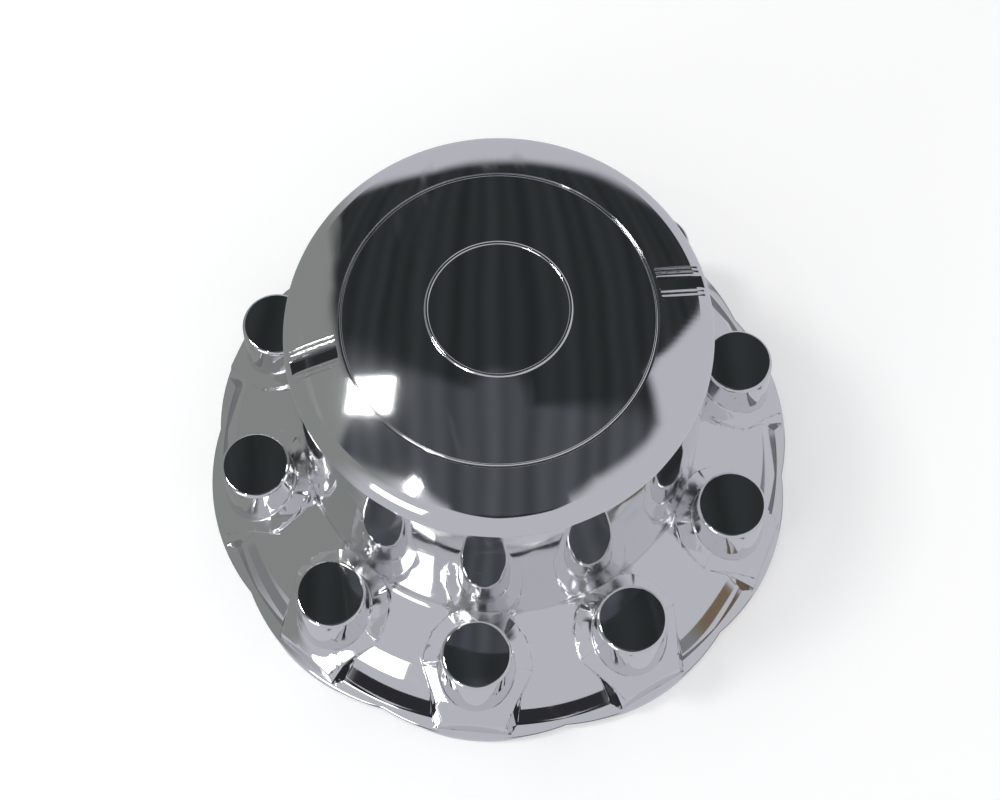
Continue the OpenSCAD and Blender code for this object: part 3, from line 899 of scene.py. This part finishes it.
def surroundTone(heading, elevation, s):
    # painted reflection tones: walls below the edge, ceiling above it, whose panels are bands of even width
    # on a level ceiling
    edge = np.interp(heading, *np.array(s["edge"]).T)
    above = softStep(edge - s["edgeSoft"] / 2, edge + s["edgeSoft"] / 2, elevation)[..., None]
    deep = sector(heading, s["deepMiddle"], s["deepSpan"]) * (1 - softStep(*s["deepTop"], elevation))
    front = sector(heading, s["rimMiddle"], s["rimSpan"]) * (1 - softStep(*s["rimTop"], elevation))
    ceiling = mixed(linear(s["ceiling"]), linear(s["deepCeiling"]), np.maximum(deep, front)[..., None])
    flatReach = np.tan(np.radians(90 - np.clip(elevation, 15, 90)))
    across = flatReach * np.sin(np.radians(heading - s["panelHeading"])) * s["panels"]
    panels = 1 + s["panelDepth"] * (np.sin(across) + 0.7 * np.sin(across * 0.37 + 1.0))
    return mixed(wallTone(heading, s), ceiling * panels[..., None], above)


def newNodes(tree, *kinds):
    # one shader node of each kind
    return [tree.nodes.new("ShaderNode" + kind) for kind in kinds]


def join(tree, *pairs):
    # links from the first socket of each pair to the second
    for start, end in pairs:
        tree.links.new(start, end)


def newMaterial(name, empty=True):
    # a node material, and its tree
    material = bpy.data.materials.new(name)
    material.use_nodes = True
    if empty:
        material.node_tree.nodes.clear()
    return material, material.node_tree


def glowMaterial(name, attribute):
    # plain glow of the mesh's own colours
    material, tree = newMaterial(name)
    out, glow, colour = newNodes(tree, "OutputMaterial", "Emission", "Attribute")
    colour.attribute_name = attribute
    join(tree, (colour.outputs["Color"], glow.inputs["Color"]),
         (glow.outputs["Emission"], out.inputs["Surface"]))
    return material


def addCard(name, points, tones):
    # a grid of points that glows in its tones, which only the plating's reflections see
    rows, columns = points.shape[:2]
    mesh = bpy.data.meshes.new(name)
    mesh.from_pydata(points.reshape(-1, 3).tolist(), [], gridFaces(rows, columns, False).tolist())
    colour = np.concatenate([tones.reshape(-1, 3), np.ones((rows * columns, 1))], 1)
    mesh.attributes.new("tone", "FLOAT_COLOR", "POINT").data.foreach_set("color", colour.ravel())
    piece = bpy.data.objects.new(name, mesh)
    piece.data.materials.append(glowMaterial(name + "Glow", "tone"))
    bpy.context.collection.objects.link(piece)
    piece.visible_camera = piece.visible_diffuse = piece.visible_shadow = False
    piece.visible_transmission = piece.visible_volume_scatter = False


def makeSurround(s):
    # the dome of painted room reflections, a glowing sheet that only reflections see: its points at even
    # headings and elevations
    headings = np.linspace(-180, 180, 361)
    heading, elevation = np.meshgrid(headings, np.linspace(0, 90, 121), indexing="ij")
    h, e = np.radians(heading), np.radians(elevation)
    dome = s["domeRadius"] * np.stack([np.cos(e) * np.cos(h), np.cos(e) * np.sin(h), np.sin(e)], -1)
    addCard("paintedRoomReflection", dome, surroundTone(heading, elevation, s))
    # painted reflection of a pale floor: a flat glowing ring in the walls' tones just above the floor, which
    # only reflections see and which hides the floor's own shadow from them
    heading, reach = np.meshgrid(headings, [s["reflectedFloorInner"], s["reflectedFloorOuter"]], indexing="ij")
    h = np.radians(heading)
    pale = wallTone(heading, s)
    reflectedFloorRing = np.stack([reach * np.cos(h), reach * np.sin(h), np.full_like(h, s["reflectedFloorHeight"])], -1)
    addCard("paintedFloorReflection", reflectedFloorRing, pale)
    # painted shadow: an upright glowing ring that only reflections see, in its shadow tones between the
    # bosses and in the pale floor tones in front of them
    brown = sector(heading, s["brownMiddle"], s["brownSpan"])[..., None]
    front = sector(heading, s["frontShadowMiddle"], s["frontShadowSpan"])[..., None]
    # painted shadow tone: grey round the cover, darkest in front, brown at one side
    near = mixed(mixed(linear(s["nearShadowTone"]), linear(s["brownTone"]), brown), linear(s["frontShadowTone"]), front)
    lugHalf = 180 / hubShape["lugCount"]
    fromBoss = np.abs((heading + lugHalf) % (2 * lugHalf) - lugHalf)
    between = softStep(*s["shadowRingGap"], fromBoss)[..., None]
    height = np.zeros_like(h) + [s["shadowRingFoot"], s["shadowRingHeight"]]
    paintedShadowBand = np.stack([s["shadowRingReach"] * np.cos(h), s["shadowRingReach"] * np.sin(h), height], -1)
    addCard("paintedFloorShadow", paintedShadowBand, mixed(pale, near, between))


def makeFloor(s):
    # a pale matt square that camera, glossy and transmitted rays see a little lifted
    w = s["floorHalf"]
    mesh = bpy.data.meshes.new("studioFloor")
    mesh.from_pydata([(-w, -w, 0), (w, -w, 0), (w, w, 0), (-w, w, 0)], [], [(0, 1, 2, 3)])
    floor = bpy.data.objects.new("studioFloor", mesh)
    bpy.context.collection.objects.link(floor)
    material, tree = newMaterial("paleFloor")
    out, add, matte, lift = newNodes(tree, "OutputMaterial", "AddShader", "BsdfDiffuse", "Emission")
    path, sumA, sumB, level = newNodes(tree, "LightPath", "Math", "Math", "Math")
    matte.inputs["Color"].default_value = (s["floorTone"], s["floorTone"], s["floorTone"], 1)
    sumB.use_clamp = True
    level.operation, level.inputs[1].default_value = "MULTIPLY", s["floorLift"]
    join(tree, (path.outputs["Is Camera Ray"], sumA.inputs[0]),
         (path.outputs["Is Glossy Ray"], sumA.inputs[1]), (sumA.outputs[0], sumB.inputs[0]),
         (path.outputs["Is Transmission Ray"], sumB.inputs[1]),
         (sumB.outputs[0], level.inputs[0]), (level.outputs[0], lift.inputs["Strength"]),
         (matte.outputs[0], add.inputs[0]), (lift.outputs[0], add.inputs[1]),
         (add.outputs[0], out.inputs["Surface"]))
    floor.data.materials.append(material)


def makeAir(s):
    # even light from all round
    world = bpy.data.worlds.new("studioAir")
    bpy.context.scene.world = world
    world.use_nodes = True
    background = world.node_tree.nodes["Background"]
    background.inputs["Color"].default_value = s["worldTone"]
    background.inputs["Strength"].default_value = s["worldLevel"]


# softboxes: heading and elevation in degrees, distance, width and height in metres, and watts
softboxes = {
    "window": (160.0, 59.8, 2.4, 0.36, 0.44, 12.0),
    "frontLamp": (-150.0, 62.5, 2.4, 0.10, 0.13, 1.4),
    "doorway": (-142.0, 15.0, 2.6, 1.0, 1.15, 9.0),
}
softboxAim = Vector((0, 0, 0.12))


def makeSoftboxes(boxes):
    # each stands at its heading, elevation and distance from the point it faces
    for name, (heading, elevation, distance, width, height, watts) in boxes.items():
        data = bpy.data.lights.new(name, "AREA")
        data.shape, data.size, data.size_y, data.energy = "RECTANGLE", width, height, watts
        h, e = math.radians(heading), math.radians(elevation)
        away = Vector((math.cos(e) * math.cos(h), math.cos(e) * math.sin(h), math.sin(e))) * distance
        lamp = bpy.data.objects.new(name, data)
        facing = away.to_track_quat("Z", "Y").to_matrix().to_4x4()
        lamp.matrix_world = Matrix.Translation(away + softboxAim) @ facing
        bpy.context.collection.objects.link(lamp)


makeSurround(studio)
makeFloor(studio)
makeAir(studio)
makeSoftboxes(softboxes)
bpy.context.scene.view_settings.view_transform = "Standard"
print("studio made")

# finish of the plating: colours, roughness, and each effect's scale and height in metres
plating = {
    "bright": (0.83, 0.83, 0.84), "thin": (0.47, 0.47, 0.475),
    "roughness": 0.035, "hazeRoughness": 0.075, "markRoughness": 0.16, "insideRoughness": 0.38,
    "hazeScale": 9.0, "hazeLow": 0.42, "hazeHigh": 0.68, "markScale": 55.0,
    "waveScale": 26.0, "waveHeight": 0.0004, "peelScale": 900.0, "peelHeight": 0.0000012,
}


def newGroup(name, inputs, output):
    # a node group with those number inputs and one number output, and its two ends
    tree = bpy.data.node_groups.new(name, "ShaderNodeTree")
    for label in inputs:
        tree.interface.new_socket(name=label, in_out="INPUT", socket_type="NodeSocketFloat")
    tree.interface.new_socket(name=output, in_out="OUTPUT", socket_type="NodeSocketFloat")
    return tree, tree.nodes.new("NodeGroupInput"), tree.nodes.new("NodeGroupOutput")


def hazeGroup():
    # cloudy noise on the object's own coordinates, spread from 0 to 1
    tree, given, out = newGroup("platingHaze", ["Scale", "Low", "High"], "Mask")
    place, noise, spread = newNodes(tree, "TexCoord", "TexNoise", "MapRange")
    noise.inputs["Detail"].default_value, noise.inputs["Roughness"].default_value = 4.0, 0.6
    join(tree, (place.outputs["Object"], noise.inputs["Vector"]),
         (given.outputs["Scale"], noise.inputs["Scale"]),
         (noise.outputs[0], spread.inputs["Value"]), (given.outputs["Low"], spread.inputs["From Min"]),
         (given.outputs["High"], spread.inputs["From Max"]), (spread.outputs[0], out.inputs["Mask"]))
    return tree


def marksGroup():
    # thin wiping marks: noise drawn out along one direction, kept only at its peaks
    tree, given, out = newGroup("wipeMarks", ["Scale"], "Mask")
    place, stretch, noise, peaks = newNodes(tree, "TexCoord", "Mapping", "TexNoise", "MapRange")
    stretch.inputs["Rotation"].default_value = (0.0, 0.0, 0.6)
    stretch.inputs["Scale"].default_value = (1.0, 0.12, 1.0)
    noise.inputs["Detail"].default_value, noise.inputs["Distortion"].default_value = 3.0, 0.4
    peaks.inputs["From Min"].default_value, peaks.inputs["From Max"].default_value = 0.6, 0.74
    join(tree, (place.outputs["Object"], stretch.inputs["Vector"]),
         (stretch.outputs[0], noise.inputs["Vector"]),
         (given.outputs["Scale"], noise.inputs["Scale"]), (noise.outputs[0], peaks.inputs["Value"]),
         (peaks.outputs[0], out.inputs["Mask"]))
    return tree


def wavesGroup():
    # height in metres: slow moulding waves and a fine skin of the plating
    inputs = ["Wave Scale", "Wave Height", "Skin Scale", "Skin Height"]
    tree, given, out = newGroup("mouldedWaves", inputs, "Height")
    place, slow, fine = newNodes(tree, "TexCoord", "TexNoise", "TexNoise")
    slow.inputs["Detail"].default_value, fine.inputs["Detail"].default_value = 0.0, 1.0
    a, b, total = newNodes(tree, "Math", "Math", "Math")
    a.operation = b.operation = "MULTIPLY"
    for noise, node, layer in ((slow, a, "Wave"), (fine, b, "Skin")):
        join(tree, (place.outputs["Object"], noise.inputs["Vector"]),
             (given.outputs[layer + " Scale"], noise.inputs["Scale"]),
             (noise.outputs[0], node.inputs[0]), (given.outputs[layer + " Height"], node.inputs[1]))
    join(tree, (a.outputs[0], total.inputs[0]), (b.outputs[0], total.inputs[1]),
         (total.outputs[0], out.inputs["Height"]))
    return tree


def placeGroup(tree, group, values):
    # the group as one node, with its own values
    node, = newNodes(tree, "Group")
    node.node_tree = group
    for label, value in values.items():
        node.inputs[label].default_value = value
    return node


def platingMaterial(p):
    # mirror plating where the attribute inside is 0, hazy at a half, and thin and dull at 1
    material, tree = newMaterial("brightPlating", False)
    shader = tree.nodes["Principled BSDF"]
    shader.inputs["Metallic"].default_value = 1.0
    inside, = newNodes(tree, "Attribute")
    inside.attribute_name = "inside"
    haze = placeGroup(tree, hazeGroup(),
                      {"Scale": p["hazeScale"], "Low": p["hazeLow"], "High": p["hazeHigh"]})
    marks = placeGroup(tree, marksGroup(), {"Scale": p["markScale"]})
    waves = placeGroup(tree, wavesGroup(), {"Wave Scale": p["waveScale"], "Wave Height": p["waveHeight"],
                                            "Skin Scale": p["peelScale"], "Skin Height": p["peelHeight"]})
    colour, thin = newNodes(tree, "Mix", "MapRange")
    colour.data_type = "RGBA"
    colour.inputs["A"].default_value, colour.inputs["B"].default_value = (*p["bright"], 1), (*p["thin"], 1)
    thin.inputs["From Min"].default_value = 0.5
    cloudy, marked, rough, bump = newNodes(tree, "MapRange", "Math", "Mix", "Bump")
    cloudy.inputs["To Min"].default_value = p["roughness"]
    cloudy.inputs["To Max"].default_value = p["hazeRoughness"]
    marked.operation, marked.inputs[1].default_value = "MULTIPLY_ADD", p["markRoughness"] - p["roughness"]
    rough.inputs["B"].default_value = p["insideRoughness"]
    bump.inputs["Distance"].default_value = 1.0
    join(tree, (inside.outputs["Fac"], thin.inputs["Value"]), (thin.outputs[0], colour.inputs["Factor"]),
         (colour.outputs["Result"], shader.inputs["Base Color"]),
         (haze.outputs["Mask"], cloudy.inputs["Value"]),
         (marks.outputs["Mask"], marked.inputs[0]), (cloudy.outputs[0], marked.inputs[2]),
         (inside.outputs["Fac"], rough.inputs["Factor"]), (marked.outputs[0], rough.inputs["A"]),
         (rough.outputs["Result"], shader.inputs["Roughness"]),
         (waves.outputs["Height"], bump.inputs["Height"]),
         (bump.outputs["Normal"], shader.inputs["Normal"]))
    return material


hubCover.data.materials.append(platingMaterial(plating))
print("plating laid on")
